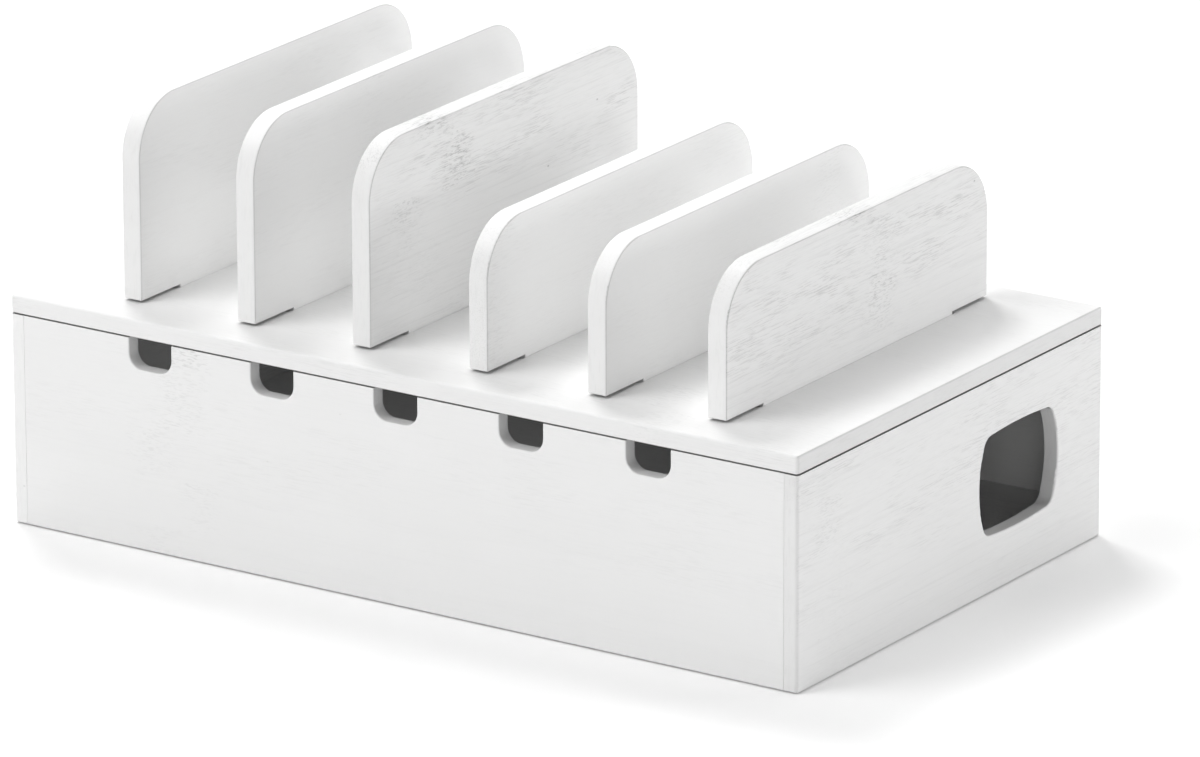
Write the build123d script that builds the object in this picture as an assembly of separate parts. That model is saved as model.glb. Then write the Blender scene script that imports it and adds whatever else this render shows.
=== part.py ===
from build123d import *
import os

# Charging station organizer in painted bamboo: a low box with a lift-off lid,
# and six dividers that plug into grooves in the lid.
# Millimetres, +Z up, the front faces -Y, and the long side lies along X.
# The origin is under the middle of the box, on the surface that it stands on.

# Box walls
box_length = 300.0
box_depth = 181.0
wall_height = 71.0
wall_thickness = 5.0
box_corner_radius = 1.2
wall_edge_round = 0.3

# Shadow gap under the lid: a rebate round the outer top edge of the walls
seam_height = 0.4
seam_depth = 2.0

# Glued corner joints: a tongue along each end of the front and back panels
glue_gap = 0.1
tongue_length = 2.5
tongue_thickness = 2.0
tongue_setback = 1.5

# Floor panel, held in a groove round the inside of the walls
floor_thickness = 5.0
floor_recess = 7.0
floor_groove_depth = 2.5

# Rubber feet under the floor panel
foot_stand_off = 0.5
foot_top_radius = 8.0
foot_base_radius = 6.5
foot_base_bevel = 0.8
foot_inset = 22.0

# Cable notches along the top of the front panel
notch_count = 5
notch_pitch = 47.5
notch_width = 16.5
notch_depth = 10.5
notch_corner_radius = 5.0
notch_edge_round = 0.5

# Cable port in the right side panel: bowed on all four sides
port_width = 47.2
port_height = 34.7
port_side_radius = 36.1
port_level_radius = 195.0
port_corner_radius = 4.6
port_edge_round = 0.6
port_behind_middle = 39.9
port_above_wall_foot = 35.4

# Lid
lid_thickness = 6.0
lid_edge_round = 1.0
lid_under_bevel = 0.3
groove_depth = 4.0
groove_side_gap = 0.1

# Battens under the lid that keep it in line with the box
batten_width = 8.0
batten_height = 8.0
batten_lead_in = 1.0
batten_gap = 0.5

# Dividers
divider_pitch = 44.6
divider_thickness = 7.0
divider_length = 153.5
divider_corner_radius = 19.5
divider_edge_round = 0.5
shoulder_edge_round = 0.3
tall_divider_height = 66.0
short_divider_height = 47.5
shoulder_length = 21.2
shoulder_gap = 0.8
row_shift_x = -0.8
row_shift_y = 1.2

# Helper lengths: how far a cutter runs past a face, and how near is the same place
cut_overrun = 2.0
match_tolerance = 0.01

# Heights and half sizes that several pieces share
wall_foot_z = foot_stand_off
wall_top_z = wall_foot_z + wall_height
floor_under_z = wall_foot_z + floor_recess
seam_z = wall_top_z - seam_height
lid_top_z = wall_top_z + lid_thickness
shoulder_z = lid_top_z + shoulder_gap
half_length = box_length / 2
half_depth = box_depth / 2
inner_half_length = half_length - wall_thickness
inner_half_depth = half_depth - wall_thickness
tenon_length = divider_length - 2 * shoulder_length
tenon_depth = shoulder_gap + groove_depth

divider_heights = {
    "divider_tall_left": tall_divider_height,
    "divider_tall_middle": tall_divider_height,
    "divider_tall_right": tall_divider_height,
    "divider_short_left": short_divider_height,
    "divider_short_middle": short_divider_height,
    "divider_short_right": short_divider_height,
}


def block(low, high):
    """A plain block between its lowest and its highest corner."""
    size = [high[i] - low[i] for i in range(3)]
    middle = [(high[i] + low[i]) / 2 for i in range(3)]
    return Pos(*middle) * Box(*size)


def edges_at(solid, axis, place):
    """The edges of a solid that lie wholly at one place along an axis."""
    found = ShapeList()
    for edge in solid.edges():
        low = getattr(edge.bounding_box().min, axis)
        high = getattr(edge.bounding_box().max, axis)
        if abs(low - place) < match_tolerance and abs(high - place) < match_tolerance:
            found.append(edge)
    return found


def is_among(edge, others):
    """True where the middle of an edge is the middle of one of the others."""
    return any((edge.center() - other.center()).length < match_tolerance for other in others)


def all_but(edges, others):
    """The edges that aren't among the others."""
    return ShapeList(edge for edge in edges if not is_among(edge, others))


def shared(edges, others):
    """The edges that are among the others as well."""
    return ShapeList(edge for edge in edges if is_among(edge, others))


def row_places(count, pitch):
    """Places of a row of equally spaced things about zero."""
    first = -pitch * (count - 1) / 2
    return [first + pitch * i for i in range(count)]


def divider_places():
    """Where the middle of each divider lies along X."""
    return [place + row_shift_x for place in row_places(len(divider_heights), divider_pitch)]


def floor_groove():
    """The ring that the walls' grooves leave for the floor panel, as one cutter."""
    reach_x = inner_half_length + floor_groove_depth
    reach_y = inner_half_depth + floor_groove_depth
    top = floor_under_z + floor_thickness + glue_gap
    return block((-reach_x, -reach_y, floor_under_z), (reach_x, reach_y, top))


def seam_ring():
    """The ring round the top of the walls that the shadow gap under the lid takes away."""
    outer = (half_length + cut_overrun, half_depth + cut_overrun)
    inner = (half_length - seam_depth, half_depth - seam_depth)
    top = wall_top_z + cut_overrun
    ring = block((-outer[0], -outer[1], seam_z), (outer[0], outer[1], top))
    core = block((-inner[0], -inner[1], seam_z - cut_overrun), (inner[0], inner[1], top + cut_overrun))
    return ring - core


def tongue(gap):
    """The tongue at the right end of the front panel, made larger all round by a gap.

    It starts inside the panel, so that the two join.
    """
    outer_y = -half_depth + tongue_setback
    low = (inner_half_length - cut_overrun, outer_y - gap, wall_foot_z - gap)
    high = (
        inner_half_length + tongue_length + gap,
        outer_y + tongue_thickness + gap,
        wall_top_z + gap,
    )
    return block(low, high)


def notch_cutters():
    """Round-cornered cutters for the cable notches, open at the top."""
    mouth_z = wall_top_z + 2 * cut_overrun
    height = notch_depth + 2 * cut_overrun
    outline = Rectangle(notch_width, height)
    lower_corners = outline.vertices().group_by(Axis.Y)[0]
    outline = fillet(lower_corners, notch_corner_radius)
    run = wall_thickness + 2 * cut_overrun
    cutter = extrude(Plane.XZ * outline, run / 2, both=True)
    middle_y = -half_depth + wall_thickness / 2
    middle_z = mouth_z - height / 2
    return [Pos(x, middle_y, middle_z) * cutter for x in row_places(notch_count, notch_pitch)]


def front_wall(notched):
    """The panel between the side panels at the front, with a tongue at each end."""
    end = inner_half_length - glue_gap
    tall_z = wall_top_z + cut_overrun
    low = (-end, -half_depth, wall_foot_z)
    panel = block(low, (end, -inner_half_depth, tall_z))
    if notched:
        outline = edges_at(panel, "Y", -half_depth)
        for cutter in notch_cutters():
            panel -= cutter
        rims = all_but(edges_at(panel, "Y", -half_depth), outline)
        panel = fillet(all_but(rims, edges_at(panel, "Z", tall_z)), notch_edge_round)
    panel -= block((-end, -half_depth, wall_top_z), (end, -inner_half_depth, tall_z))
    panel -= seam_ring()
    outer = edges_at(panel, "Y", -half_depth)
    upper = shared(edges_at(panel, "Z", seam_z), outer)
    lower = shared(edges_at(panel, "Z", wall_foot_z), outer)
    panel = fillet(upper + lower, wall_edge_round)
    right = tongue(0) - seam_ring()
    panel += right
    panel += mirror(right, Plane.YZ)
    return panel - floor_groove()


def port_outline():
    """The port's outline about its middle: what two pairs of large circles have in common."""
    reach = port_width + port_height
    outline = Rectangle(reach, reach)
    for middle, radius in (
        ((port_side_radius - port_width / 2, 0), port_side_radius),
        ((0, port_level_radius - port_height / 2), port_level_radius),
    ):
        outline &= Pos(*middle) * Circle(radius)
        outline &= Pos(-middle[0], -middle[1]) * Circle(radius)
    return fillet(outline.vertices(), port_corner_radius)


def right_wall(ported):
    """The right side panel: full depth, with or without the cable port towards the back."""
    panel = block(
        (inner_half_length, -half_depth, wall_foot_z),
        (half_length, half_depth, wall_top_z),
    )
    outer = edges_at(panel, "X", half_length)
    panel = fillet(outer.filter_by(Axis.Z), box_corner_radius)
    if ported:
        plain = edges_at(panel, "X", half_length)
        port = extrude(Plane.YZ * port_outline(), wall_thickness + cut_overrun, both=True)
        panel -= Pos(half_length, port_behind_middle, wall_foot_z + port_above_wall_foot) * port
        rim = all_but(edges_at(panel, "X", half_length), plain)
        panel = fillet(rim, port_edge_round)
    panel -= seam_ring()
    inner = edges_at(panel, "X", inner_half_length)
    lower = all_but(edges_at(panel, "Z", wall_foot_z), inner)
    panel = fillet(lower, wall_edge_round)
    mortise = tongue(glue_gap)
    panel -= mortise
    panel -= mirror(mortise, Plane.XZ)
    return panel - floor_groove()


def floor_panel():
    """The floor panel: it lies in the walls' grooves, just short of their ends."""
    reach_x = inner_half_length + floor_groove_depth - glue_gap
    reach_y = inner_half_depth + floor_groove_depth - glue_gap
    top = floor_under_z + floor_thickness
    return block((-reach_x, -reach_y, floor_under_z), (reach_x, reach_y, top))


def foot():
    """One stuck-on rubber foot, wider where it meets the floor panel."""
    shape = Cone(
        foot_base_radius,
        foot_top_radius,
        floor_under_z,
        align=(Align.CENTER, Align.CENTER, Align.MIN),
    )
    return chamfer(edges_at(shape, "Z", 0), foot_base_bevel)


def groove_cutter():
    """A blind groove for one divider's tenon, with the round ends that a mill leaves."""
    width = divider_thickness + 2 * groove_side_gap
    outline = SlotCenterToCenter(tenon_length, width, rotation=90)
    height = groove_depth + cut_overrun
    return Pos(0, row_shift_y, lid_top_z - groove_depth) * extrude(outline, height)


def lid_panel():
    """The lid: as large as the box, with a groove for each divider."""
    outline = RectangleRounded(box_length, box_depth, box_corner_radius)
    panel = Pos(0, 0, wall_top_z) * extrude(outline, lid_thickness)
    panel = fillet(edges_at(panel, "Z", lid_top_z), lid_edge_round)
    panel = chamfer(edges_at(panel, "Z", wall_top_z), lid_under_bevel)
    for place in divider_places():
        panel -= Pos(place, 0, 0) * groove_cutter()
    return panel


def right_batten():
    """A batten under the lid, just inside the right, front and back walls."""
    outer_x = inner_half_length - batten_gap
    inner_x = outer_x - batten_width
    reach_y = inner_half_depth - batten_gap
    under_z = wall_top_z - batten_height
    batten = block((inner_x, -reach_y, under_z), (outer_x, reach_y, wall_top_z))
    return chamfer(edges_at(batten, "Z", under_z), batten_lead_in)


def shoulder_edges(solid):
    """The long lower edges of a divider's shoulders."""
    return edges_at(solid, "Z", shoulder_z).filter_by(Axis.Y)


def divider(height):
    """One divider at the middle of the row: a board with a tenon along its lower edge."""
    half = divider_length / 2
    top_z = shoulder_z + height
    board = Pos(0, shoulder_z + height / 2) * Rectangle(divider_length, height)
    upper_corners = board.vertices().group_by(Axis.Y)[-1]
    board = fillet(upper_corners, divider_corner_radius)
    outline = board + Pos(0, shoulder_z) * Rectangle(tenon_length, 2 * tenon_depth)
    solid = extrude(Plane.YZ * outline, divider_thickness / 2, both=True)
    half_thickness = divider_thickness / 2
    faces = edges_at(solid, "X", half_thickness) + edges_at(solid, "X", -half_thickness)
    upper = ShapeList(edge for edge in faces if edge.center().Z > shoulder_z + match_tolerance)
    solid = fillet(upper, divider_edge_round)
    return Pos(0, row_shift_y, 0) * fillet(shoulder_edges(solid), shoulder_edge_round)


def write_pieces():
    """Write every piece to its own file, named after the piece."""
    os.makedirs("parts", exist_ok=True)
    right_strip = right_batten()
    pieces = {
        "front_panel": front_wall(notched=True),
        "back_panel": mirror(front_wall(notched=False), Plane.XZ),
        "right_side_panel": right_wall(ported=True),
        "left_side_panel": mirror(right_wall(ported=False), Plane.YZ),
        "floor_panel": floor_panel(),
        "lid_panel": lid_panel(),
        "batten_right": right_strip,
        "batten_left": mirror(right_strip, Plane.YZ),
    }
    for end, towards_x in (("left", -1), ("right", 1)):
        for face, towards_y in (("front", -1), ("back", 1)):
            x = towards_x * (half_length - foot_inset)
            y = towards_y * (half_depth - foot_inset)
            pieces["foot_" + face + "_" + end] = Pos(x, y, 0) * foot()
    for place, name in zip(divider_places(), divider_heights):
        pieces[name] = Pos(place, 0, 0) * divider(divider_heights[name])
    for name, piece in pieces.items():
        export_step(piece, "parts/" + name + ".step")


write_pieces()
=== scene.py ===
import math
from collections import namedtuple

import bpy
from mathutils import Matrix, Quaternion, Vector

# A charging station organizer in white-painted bamboo, on a white studio floor.
# Metres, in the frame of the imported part: the front faces -Y and the long side lies along X.
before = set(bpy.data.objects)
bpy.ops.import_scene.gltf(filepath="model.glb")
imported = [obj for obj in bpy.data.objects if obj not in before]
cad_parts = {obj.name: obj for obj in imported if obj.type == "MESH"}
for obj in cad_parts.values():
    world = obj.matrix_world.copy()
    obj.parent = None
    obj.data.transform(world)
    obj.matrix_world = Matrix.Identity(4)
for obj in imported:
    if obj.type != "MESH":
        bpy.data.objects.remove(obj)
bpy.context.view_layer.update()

MM = 0.001

# Camera: it looks from the front right, from above, through a long lens
CAMERA_AIM = Vector((0.00348, 0.02034, 0.04611))
CAMERA_DISTANCE = 3.38989
CAMERA_AZIMUTH = math.radians(33.6595)
CAMERA_ELEVATION = math.radians(18.1306)
CAMERA_ROLL = math.radians(-0.1587)
CAMERA_LENS = 315.23
CAMERA_NEAR, CAMERA_FAR = 0.1, 600.0
SENSOR_WIDTH = 36.0

# Lamps: square and soft, and all at one distance. Azimuth and elevation are in degrees. The level is the
# light that a lamp throws on a card held square to it at the object, as a share of plain white
Lamp = namedtuple("Lamp", "name azimuth elevation size level")
LAMP_DISTANCE = 2.4
LAMPS = (
    Lamp("back_high", 180.0, 44.0, 1.2, 0.20),
    Lamp("top", 180.0, 75.0, 1.2, 0.05),
    Lamp("left_front_high", -38.0, 60.0, 1.2, 0.34),
    Lamp("left_front", -34.0, 28.0, 1.2, 0.24),
    Lamp("left_back_high", -128.0, 57.0, 0.7, 0.42),
    Lamp("front", 5.0, 12.0, 1.2, 0.10),
    Lamp("right_front", 38.0, 12.0, 1.2, 0.12),
    Lamp("right", 101.0, 7.0, 0.6, 0.12),
    Lamp("right_back", 136.0, 18.0, 1.2, 0.34),
)
WORLD_STRENGTH = 0.05

# A faint lamp close under the lid, so that the notches and the port show dark grey
INSIDE_SIZE = (0.17, 0.15)
INSIDE_PLACE = (-0.055, 0.0, 0.066)
INSIDE_LEVEL = 0.092

# Floor: what the camera sees of it is lifted a little around the object, and to plain white further out
STAGE_SIZE = 60.0
STAGE_COLOUR = 0.86
STAGE_LIFT = 0.20
STAGE_NEAR, STAGE_FAR = 0.7, 2.6

# Paint
PAINT_COLOUR = (0.91, 0.91, 0.907)
PAINT_SPECULAR = 0.35
ROUGHNESS, STREAK_ROUGHNESS, CLOUD_ROUGHNESS = 0.44, 0.16, 0.08
RELIEF_DEPTH = 0.05 * MM
RELIEF_STRENGTH = 0.7
STREAK_RELIEF, FIBRE_RELIEF, SPECK_RELIEF = 0.7, 0.25, 2.0

# Patterns of noise: the lengths of one grain of it along, across and into the board in mm, its detail and
# roughness, a shift that keeps it apart from the others, and the noise values between which it comes up.
# The seed steps are the further shift from board to board along those three ways
Pattern = namedtuple("Pattern", "lengths_mm detail roughness shift low high", defaults=(None, None))
STRIP_EDGE = Pattern((60, 30, 30), 2.0, 0.5, 0.0)
NODE_EDGE = Pattern((9, 5, 5), 3.0, 0.5, 0.0)
DASHES = Pattern((2.4, 0.5, 0.5), 2.0, 0.6, 4.0, 0.49, 0.64)
PATCHES = Pattern((38, 13, 13), 2.0, 0.6, 9.0, 0.42, 0.64)
LINES = Pattern((6.5, 0.4, 0.4), 2.0, 0.6, 2.0, 0.50, 0.63)
LONG_LINES = Pattern((55, 0.8, 0.8), 1.0, 0.5, 5.0, 0.54, 0.72)
FIBRE = Pattern((14, 0.3, 0.3), 2.0, 0.5, 6.0)
PORES = Pattern((8, 6.0, 0.8), 2.0, 0.6, 1.0, 0.50, 0.70)
CLOUDS = Pattern((60, 34, 34), 2.0, 0.5, 3.0)
SEED_STEPS = (7.3, 3.1, 5.7)

# Glued strips, with a wavering edge. A strip whose random number is low shows its nodes faintly
STRIP_WIDTH_MM = 19.0
STRIP_WAVER = 1.2
STRIP_SEED_STEP = 11.7
NODES_FAINT, NODES_FULL, FAINT_NODE = 0.1, 0.6, 0.4

# Nodes: half the width of their band, and how far it moves from strip to strip and along its edge, as
# shares of the pitch
NODE_PITCH_MM = 290.0
NODE_BAND = 0.045
NODE_STEP = 0.12
NODE_RAGGED = 0.09

# Streaks: their strength between the patches, and the strength of a board's marks where it shows them faintly
STREAKS_BETWEEN = 0.2
FAINT_MARKS = 0.25

# Specks: each cell may hold one. Its core and its edge are shares of a cell, and a cell whose random number
# is lower than the last value has none
SPECK_CELL_MM = (15, 9, 9)
SPECK_CORE, SPECK_EDGE = 0.02, 0.05
SPECKS_ABOVE = 0.84

# Faces, by the length of their normal along an axis: at the first value a face doesn't count, at the second
# it does
END_FACE = (0.7, 0.95)
EDGE_BEGINS = (0.35, 0.75)
EDGE_ENDS = (0.998, 0.95)
END_EDGE = (0.3, 0.6)
FACES_DOWN = (-0.6, -0.95)

# The shadow gap under the lid, whose faces are darkened as painted shade: its lower and upper limit, and how
# far out it begins
GAP_LOW_MM = (71.06, 71.12)
GAP_HIGH_MM = (71.60, 71.54)
GAP_FROM_X_MM, GAP_FROM_Y_MM = 147.9, 88.4

# The box's inside, which is darkened as painted shade: just past its walls' inner faces, up to just under
# their top
INSIDE_X_MM, INSIDE_Y_MM, INSIDE_TOP_MM = 145.05, 85.55, 71.2

# How much each thing darkens the paint where it shows in full. MEAN_DARK is added back, so that a plain
# place keeps about the paint's own colour
STREAK_DARK = 0.085
LONG_LINE_DARK = 0.022
FIBRE_DARK = 0.03
NODE_DARK = 0.15
SPECK_DARK = 0.16
PORE_DARK = 0.03
EDGE_DARK = {"all": 0.22, "ends": 0.3}
# Painted shade in the shadow gap under the lid and on the faces that look down
GAP_SHADE_DARK = 0.75
# Painted shade inside the box
INSIDE_SHADE_DARK = 0.12
STRIP_DARK = 0.012
CLOUD_DARK = 0.03
MEAN_DARK = 0.03

# Boards: the axes of the grain and of the face, how strongly streaks and nodes show through the paint,
# lightness, how much darker the end grain is, where along the grain a node lies, between which places
# across the grain the marks go from faint to full, and which rounded edges are darkened. Places are in mm
BOARD_VALUES = "grain face streaks nodes lightness end_dark node_at shown edges"
Board = namedtuple("Board", BOARD_VALUES, defaults=(None, None))
BOARDS = {
    "front_panel": Board("X", "Y", 0.4, 1.05, 0.99, 0.0, -80.0, (20.0, 36.0)),
    "back_panel": Board("X", "Y", 0.5, 0.8, 0.98, 0.0, 35.0),
    "left_side_panel": Board("Y", "X", 1.1, 0.7, 1.0, 0.0, 20.0),
    "right_side_panel": Board("Y", "X", 1.35, 0.6, 0.985, 0.05, -84.0, (5.0, 60.0)),
    # The floor panel's lower lightness is painted shade, which darkens the floor inside the box
    "floor_panel": Board("X", "Z", 0.7, 0.7, 0.88, 0.0, 60.0),
    "lid_panel": Board("X", "Z", 0.6, 0.5, 0.985, 0.10, 96.0, edges="ends"),
    "batten_left": Board("Y", "Z", 0.8, 0.6, 1.0, 0.0, 10.0),
    "batten_right": Board("Y", "Z", 0.8, 0.6, 1.0, 0.0, -30.0),
    "divider_tall_left": Board("Y", "X", 0.4, 0.4, 1.03, 0.09, 100.0, edges="all"),
    "divider_tall_middle": Board("Y", "X", 0.4, 0.5, 1.03, 0.09, -20.0, edges="all"),
    "divider_tall_right": Board("Y", "X", 1.9, 1.7, 0.99, 0.06, -39.0, (104.0, 128.0), "all"),
    "divider_short_left": Board("Y", "X", 0.4, 0.4, 1.04, 0.09, -60.0, edges="all"),
    "divider_short_middle": Board("Y", "X", 0.4, 0.4, 1.04, 0.09, 40.0, edges="all"),
    "divider_short_right": Board("Y", "X", 1.9, 1.8, 0.98, 0.0, 13.0, (78.0, 105.0), "all"),
}

# Rubber of the feet. Its fine and its wide noise each have a scale and a detail
RUBBER_FINE, RUBBER_WIDE = (2600.0, 3.0), (160.0, 2.0)
RUBBER_TONE, RUBBER_UNEVEN = 0.54, 0.12
RUBBER_ROUGHNESS = 0.75
RUBBER_RELIEF = 0.35


class Graph:
    """Adds nodes to a shader tree and joins them."""

    def __init__(self, tree):
        self.tree = tree
        tree.nodes.clear()

    def add(self, kind, inputs=None, **settings):
        """A node of one kind, with its settings and its inputs, which are values or sockets."""
        node = self.tree.nodes.new(kind)
        for name, value in settings.items():
            setattr(node, name, value)
        for name, value in (inputs or {}).items():
            self.put(node.inputs[name], value)
        return node

    def put(self, socket, value):
        """Feeds an input with a socket, or sets its own value."""
        if isinstance(value, bpy.types.NodeSocket):
            self.tree.links.new(value, socket)
        else:
            socket.default_value = value

    def math(self, operation, *values):
        """The result of one sum on sockets and numbers."""
        node = self.add("ShaderNodeMath", operation=operation)
        for socket, value in zip(node.inputs, values):
            self.put(socket, value)
        return node.outputs[0]

    def ramp(self, value, low, high, to_low=0.0, to_high=1.0):
        """A smooth step from one number to another while the value goes from low to high."""
        inputs = {"Value": value, "From Min": low, "From Max": high, "To Min": to_low, "To Max": to_high}
        return self.add("ShaderNodeMapRange", inputs, interpolation_type="SMOOTHSTEP").outputs["Result"]

    def random(self, number):
        """A random number from 0 to 1 for each number."""
        return self.add("ShaderNodeTexWhiteNoise", {"W": number}, noise_dimensions="1D").outputs["Value"]

    def point(self, x, y, z):
        """A vector from three numbers or sockets."""
        return self.add("ShaderNodeCombineXYZ", {"X": x, "Y": y, "Z": z}).outputs[0]

    def end(self, surface):
        """Joins the finished surface to the material's output."""
        self.add("ShaderNodeOutputMaterial", {"Surface": surface.outputs[0]})


class BoardGraph(Graph):
    """The shader tree of one board, which knows its axes in mm and how its faces are turned."""

    def __init__(self, tree, board, seed):
        super().__init__(tree)
        self.seed = seed
        place = self.add("ShaderNodeTexCoord")
        to_mm = {0: place.outputs["Object"], "Scale": 1 / MM}
        in_mm = self.add("ShaderNodeVectorMath", to_mm, operation="SCALE")
        axes = self.add("ShaderNodeSeparateXYZ", {0: in_mm.outputs[0]})
        normal = self.add("ShaderNodeSeparateXYZ", {0: place.outputs["Normal"]})
        across_axis = ({"X", "Y", "Z"} - {board.grain, board.face}).pop()
        self.along = axes.outputs[board.grain]
        self.across = axes.outputs[across_axis]
        self.depth = axes.outputs[board.face]
        self.from_middle_x = self.math("ABSOLUTE", axes.outputs["X"])
        self.from_middle_y = self.math("ABSOLUTE", axes.outputs["Y"])
        self.height = axes.outputs["Z"]
        self.normal_up = normal.outputs["Z"]
        self.normal_to_end = self.math("ABSOLUTE", normal.outputs[board.grain])
        self.normal_to_face = self.math("ABSOLUTE", normal.outputs[board.face])

    def place(self, lengths_mm, shift=0.0):
        """A place on the board, counted in grains of the given lengths along, across and into it."""
        counts = []
        for way, length, step in zip((self.along, self.across, self.depth), lengths_mm, SEED_STEPS):
            counts.append(self.math("ADD", self.math("DIVIDE", way, length), step * self.seed + shift))
        return self.point(*counts)

    def noise(self, pattern):
        """The noise of a pattern, from 0 to 1."""
        inputs = {"Vector": self.place(pattern.lengths_mm, pattern.shift), "Scale": 1.0}
        inputs.update({"Detail": pattern.detail, "Roughness": pattern.roughness})
        return self.add("ShaderNodeTexNoise", inputs).outputs["Fac"]

    def shown(self, pattern):
        """How far a pattern comes up, from 0 to 1."""
        return self.ramp(self.noise(pattern), pattern.low, pattern.high)


def strip_randoms(graph):
    """Two random numbers for each glued strip: for its tone, and for how well its nodes show."""
    waver = graph.math("MULTIPLY", graph.noise(STRIP_EDGE), STRIP_WAVER)
    strip = graph.math("FLOOR", graph.math("ADD", graph.math("DIVIDE", graph.across, STRIP_WIDTH_MM), waver))
    number = graph.math("ADD", strip, STRIP_SEED_STEP * graph.seed)
    return graph.random(number), graph.random(graph.math("ADD", number, 0.5))


def node_marks(graph, node_at, strip_tone, strip_nodes):
    """Short dashes in a ragged band across the strips, where the bamboo has its nodes."""
    turns = graph.math("DIVIDE", graph.math("SUBTRACT", graph.along, node_at), NODE_PITCH_MM)
    step = graph.math("MULTIPLY", graph.math("SUBTRACT", strip_tone, 0.5), NODE_STEP)
    ragged = graph.math("MULTIPLY", graph.math("SUBTRACT", graph.noise(NODE_EDGE), 0.5), NODE_RAGGED)
    bent = graph.math("ADD", graph.math("ADD", turns, step), graph.math("ADD", ragged, 0.5))
    from_node = graph.math("ABSOLUTE", graph.math("SUBTRACT", graph.math("FRACT", bent), 0.5))
    strength = graph.ramp(strip_nodes, NODES_FAINT, NODES_FULL, FAINT_NODE, 1.0)
    band = graph.math("MULTIPLY", graph.ramp(from_node, NODE_BAND, 0.0), strength)
    return graph.math("MULTIPLY", band, graph.shown(DASHES))


def streak_lines(graph):
    """Short dark lines, strong in patches and faint between them."""
    in_patch = graph.math("MULTIPLY", graph.shown(PATCHES), 1.0 - STREAKS_BETWEEN)
    return graph.math("MULTIPLY", graph.shown(LINES), graph.math("ADD", in_patch, STREAKS_BETWEEN))


def dark_specks(graph):
    """A few dark pores that the paint has not filled."""
    cells = graph.add("ShaderNodeTexVoronoi", {"Vector": graph.place(SPECK_CELL_MM), "Scale": 1.0})
    near = graph.ramp(cells.outputs["Distance"], SPECK_EDGE, SPECK_CORE)
    chance = graph.add("ShaderNodeSeparateColor", {0: cells.outputs["Color"]}).outputs[0]
    return graph.math("MULTIPLY", near, graph.math("GREATER_THAN", chance, SPECKS_ABOVE))


def darkened_edges(graph, edges):
    """A darker line along the rounded edges where a face turns away, on the whole board or only at the
    grain's ends.
    """
    turning = graph.ramp(graph.normal_to_face, *EDGE_BEGINS)
    edge = graph.math("MULTIPLY", turning, graph.ramp(graph.normal_to_face, *EDGE_ENDS))
    if edges == "ends":
        edge = graph.math("MULTIPLY", edge, graph.ramp(graph.normal_to_end, *END_EDGE))
    return edge


def painted_gap_shade(graph):
    """Painted shade: the shadow gap under the lid and the faces that look down, darkened so that they read as
    shadow lines.
    """
    past_x = graph.math("GREATER_THAN", graph.from_middle_x, GAP_FROM_X_MM)
    past_y = graph.math("GREATER_THAN", graph.from_middle_y, GAP_FROM_Y_MM)
    above_box = graph.ramp(graph.height, *GAP_LOW_MM)
    below_lid = graph.ramp(graph.height, *GAP_HIGH_MM)
    in_gap = graph.math("MULTIPLY", above_box, below_lid)
    gap = graph.math("MULTIPLY", in_gap, graph.math("MAXIMUM", past_x, past_y))
    return graph.math("MAXIMUM", gap, graph.ramp(graph.normal_up, *FACES_DOWN))


def painted_inside_shade(graph):
    """Painted shade: the box's inside, darkened where little light reaches."""
    within_x = graph.math("LESS_THAN", graph.from_middle_x, INSIDE_X_MM)
    within_y = graph.math("LESS_THAN", graph.from_middle_y, INSIDE_Y_MM)
    within_z = graph.math("LESS_THAN", graph.height, INSIDE_TOP_MM)
    return graph.math("MULTIPLY", graph.math("MULTIPLY", within_x, within_y), within_z)


def new_material(name):
    """A material that nodes will describe."""
    material = bpy.data.materials.new(name)
    material.use_nodes = True
    return material


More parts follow.
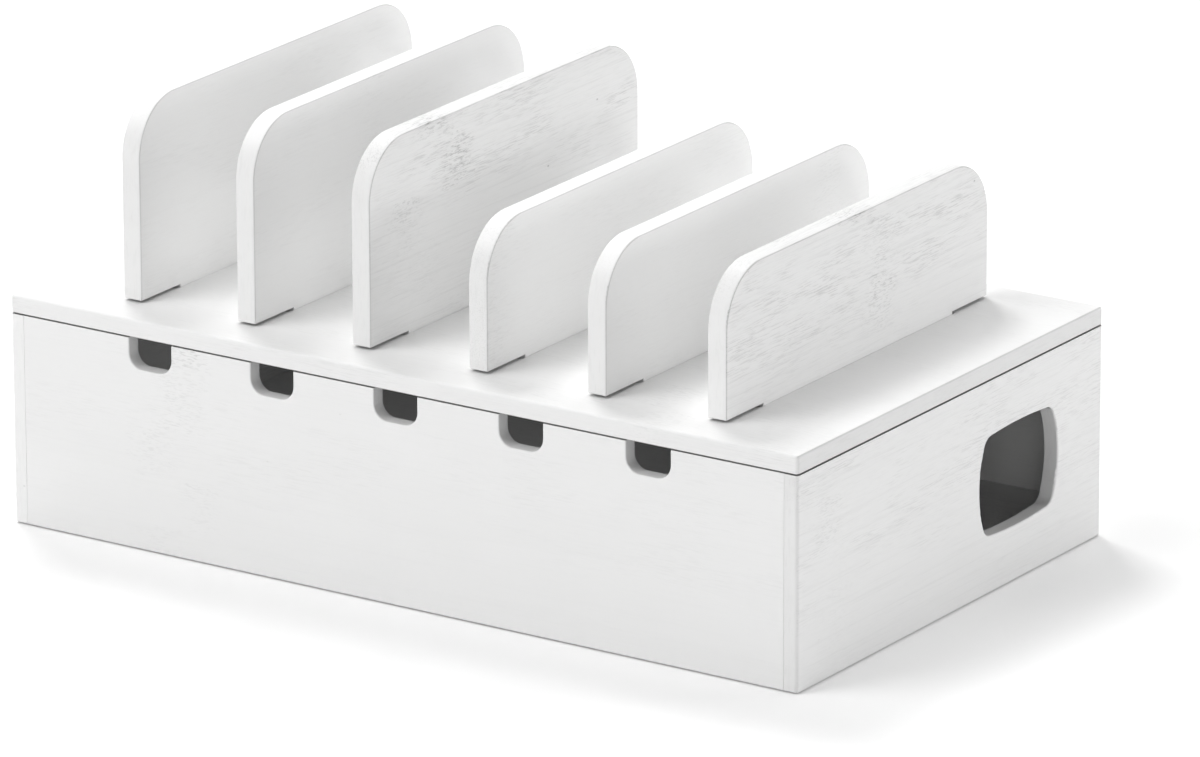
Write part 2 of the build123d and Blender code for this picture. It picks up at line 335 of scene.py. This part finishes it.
def painted_bamboo(name, board, seed):
    """White paint over bamboo: grain along one axis, in glued strips whose nodes lie in bands across them."""
    material = new_material(name)
    graph = BoardGraph(material.node_tree, board, seed)
    strip_tone, strip_nodes = strip_randoms(graph)
    nodes = node_marks(graph, board.node_at, strip_tone, strip_nodes)
    streaks = streak_lines(graph)
    if board.shown:
        strength = graph.ramp(graph.across, *board.shown, FAINT_MARKS, 1.0)
        nodes = graph.math("MULTIPLY", nodes, strength)
        streaks = graph.math("MULTIPLY", streaks, strength)
    fibre = graph.noise(FIBRE)
    clouds = graph.noise(CLOUDS)
    specks = dark_specks(graph)

    # Faces square to the grain show fine upright pores in place of the streaks
    end_face = graph.ramp(graph.normal_to_end, *END_FACE)
    long_face = graph.math("SUBTRACT", 1.0, end_face)

    # The tone: what darkens the paint, and how much
    things = [
        (graph.math("MULTIPLY", streaks, long_face), STREAK_DARK * board.streaks),
        (graph.math("MULTIPLY", graph.shown(LONG_LINES), long_face), LONG_LINE_DARK * board.streaks),
        (graph.math("MULTIPLY", fibre, long_face), FIBRE_DARK * board.streaks),
        (nodes, NODE_DARK * board.nodes),
        (specks, SPECK_DARK * board.streaks),
        (end_face, board.end_dark),
        (graph.math("MULTIPLY", graph.shown(PORES), end_face), PORE_DARK),
        # Painted shade in the shadow gap and on the faces that look down
        (painted_gap_shade(graph), GAP_SHADE_DARK),
        # Painted shade inside the box
        (painted_inside_shade(graph), INSIDE_SHADE_DARK),
        (strip_tone, STRIP_DARK),
        (clouds, CLOUD_DARK),
    ]
    if board.edges:
        things.append((darkened_edges(graph, board.edges), EDGE_DARK[board.edges]))
    dark = 0.0
    for thing, share in things:
        dark = graph.math("ADD", dark, graph.math("MULTIPLY", thing, share))
    lit = graph.math("SUBTRACT", 1.0 + MEAN_DARK, dark)
    colour = tuple(value * board.lightness for value in PAINT_COLOUR)
    tone = graph.add("ShaderNodeVectorMath", {0: colour, "Scale": lit}, operation="SCALE").outputs[0]

    # Relief: the paint sinks a little into the grain, the nodes and the specks
    sunk_streaks = graph.math("MULTIPLY", streaks, STREAK_RELIEF)
    sunk = graph.math("ADD", sunk_streaks, graph.math("MULTIPLY", fibre, FIBRE_RELIEF))
    sunk = graph.math("MULTIPLY", sunk, board.streaks)
    sunk = graph.math("ADD", sunk, graph.math("MULTIPLY", nodes, board.nodes))
    sunk = graph.math("ADD", sunk, graph.math("MULTIPLY", specks, SPECK_RELIEF))
    height = graph.math("MULTIPLY", sunk, -1.0)
    relief = {"Height": height, "Strength": RELIEF_STRENGTH, "Distance": RELIEF_DEPTH}
    bump = graph.add("ShaderNodeBump", relief)
    roughness = graph.math("ADD", ROUGHNESS, graph.math("MULTIPLY", streaks, STREAK_ROUGHNESS))
    roughness = graph.math("ADD", roughness, graph.math("MULTIPLY", clouds, CLOUD_ROUGHNESS))
    inputs = {"Base Color": tone, "Roughness": roughness, "Normal": bump.outputs[0]}
    inputs["Specular IOR Level"] = PAINT_SPECULAR
    graph.end(graph.add("ShaderNodeBsdfPrincipled", inputs))
    return material


def rubber_noise(graph, place, scale, detail):
    """An even noise over the feet, from 0 to 1."""
    inputs = {"Vector": place, "Scale": scale, "Detail": detail}
    return graph.add("ShaderNodeTexNoise", inputs).outputs["Fac"]


def pale_rubber():
    """The feet: pale matt rubber with a fine moulded grain."""
    material = new_material("pale_rubber")
    graph = Graph(material.node_tree)
    place = graph.add("ShaderNodeTexCoord").outputs["Object"]
    fine = rubber_noise(graph, place, *RUBBER_FINE)
    wide = rubber_noise(graph, place, *RUBBER_WIDE)
    tone = graph.math("ADD", RUBBER_TONE, graph.math("MULTIPLY", wide, RUBBER_UNEVEN))
    relief = {"Height": fine, "Strength": RUBBER_RELIEF, "Distance": RELIEF_DEPTH}
    bump = graph.add("ShaderNodeBump", relief)
    inputs = {"Base Color": graph.point(tone, tone, tone), "Roughness": RUBBER_ROUGHNESS}
    inputs["Normal"] = bump.outputs[0]
    graph.end(graph.add("ShaderNodeBsdfPrincipled", inputs))
    return material


def finish_node(node, material):
    """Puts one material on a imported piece."""
    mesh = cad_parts[node].data
    mesh.materials.clear()
    mesh.materials.append(material)


def finish_nodes():
    """Paints the boards, each with a seed of its own, and gives the feet their rubber."""
    for seed, (name, board) in enumerate(BOARDS.items(), start=1):
        finish_node(name, painted_bamboo("painted_" + name, board, seed))
    rubber = pale_rubber()
    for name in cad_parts:
        if name.startswith("foot_"):
            finish_node(name, rubber)


def seen_directly(graph):
    """1 for the rays that show the stage itself: from the camera, or by gloss or glass."""
    rays = graph.add("ShaderNodeLightPath")
    seen = graph.math("MAXIMUM", rays.outputs["Is Camera Ray"], rays.outputs["Is Glossy Ray"])
    return graph.math("MAXIMUM", seen, rays.outputs["Is Transmission Ray"])


def make_world():
    """Even white light from all round, which the camera sees as plain white."""
    world = bpy.data.worlds.new("studio")
    bpy.context.scene.world = world
    world.use_nodes = True
    graph = Graph(world.node_tree)
    light = graph.add("ShaderNodeBackground", {"Color": (1, 1, 1, 1), "Strength": WORLD_STRENGTH})
    white = graph.add("ShaderNodeBackground", {"Color": (1, 1, 1, 1), "Strength": 1.0})
    mixed = {0: seen_directly(graph), 1: light.outputs[0], 2: white.outputs[0]}
    mix = graph.add("ShaderNodeMixShader", mixed)
    graph.add("ShaderNodeOutputWorld", {"Surface": mix.outputs[0]})


def add_object(name, data):
    """A new object in the scene."""
    new = bpy.data.objects.new(name, data)
    bpy.context.scene.collection.objects.link(new)
    return new


def make_floor():
    """A pale floor that keeps the shadow of what stands on it, and runs out to the horizon in plain white."""
    mesh = bpy.data.meshes.new("floor")
    half = STAGE_SIZE / 2
    corners = [(-half, -half, 0), (half, -half, 0), (half, half, 0), (-half, half, 0)]
    mesh.from_pydata(corners, [], [(0, 1, 2, 3)])
    material = new_material("studio_floor")
    graph = Graph(material.node_tree)
    matt = graph.add("ShaderNodeBsdfDiffuse", {"Color": (STAGE_COLOUR, STAGE_COLOUR, STAGE_COLOUR, 1)})
    place = graph.add("ShaderNodeTexCoord").outputs["Object"]
    away = graph.add("ShaderNodeVectorMath", {0: place}, operation="LENGTH").outputs["Value"]
    lift = graph.ramp(away, STAGE_NEAR, STAGE_FAR, STAGE_LIFT, 1.0)
    glow = graph.add("ShaderNodeEmission", {"Strength": graph.math("MULTIPLY", seen_directly(graph), lift)})
    graph.end(graph.add("ShaderNodeAddShader", {0: matt.outputs[0], 1: glow.outputs[0]}))
    mesh.materials.append(material)
    floor = add_object("studio_floor", mesh)


def direction(azimuth, elevation):
    """The way from the object to something: azimuth 0 is in front of it, 90 degrees to its right."""
    level = math.cos(elevation)
    return Vector((math.sin(azimuth) * level, -math.cos(azimuth) * level, math.sin(elevation)))


def make_lamp(lamp):
    """A square soft lamp that faces the object."""
    light = bpy.data.lights.new(lamp.name, "AREA")
    light.shape = "SQUARE"
    light.size = lamp.size
    light.energy = lamp.level * math.pi * math.pi * LAMP_DISTANCE * LAMP_DISTANCE
    stand = add_object(lamp.name, light)
    towards = direction(math.radians(lamp.azimuth), math.radians(lamp.elevation))
    stand.location = towards * LAMP_DISTANCE
    stand.rotation_mode = "QUATERNION"
    stand.rotation_quaternion = towards.to_track_quat("Z", "Y")


def make_inside_lamp():
    """A flat lamp close under the lid that shines down into the box."""
    light = bpy.data.lights.new("inside", "AREA")
    light.shape = "RECTANGLE"
    light.size, light.size_y = INSIDE_SIZE
    light.energy = INSIDE_LEVEL * math.pi * INSIDE_SIZE[0] * INSIDE_SIZE[1]
    add_object("inside", light).location = INSIDE_PLACE


def make_camera():
    """The camera at the photograph's viewing angle."""
    data = bpy.data.cameras.new("camera")
    data.lens = CAMERA_LENS
    data.sensor_width = SENSOR_WIDTH
    data.clip_start = CAMERA_NEAR
    data.clip_end = CAMERA_FAR
    camera = add_object("camera", data)
    back = direction(CAMERA_AZIMUTH, CAMERA_ELEVATION)
    camera.location = CAMERA_AIM + back * CAMERA_DISTANCE
    camera.rotation_mode = "QUATERNION"
    camera.rotation_quaternion = back.to_track_quat("Z", "Y") @ Quaternion((0, 0, 1), CAMERA_ROLL)
    bpy.context.scene.camera = camera


finish_nodes()
make_world()
make_floor()
for each_lamp in LAMPS:
    make_lamp(each_lamp)
make_inside_lamp()
make_camera()
bpy.context.scene.view_settings.view_transform = "Standard"
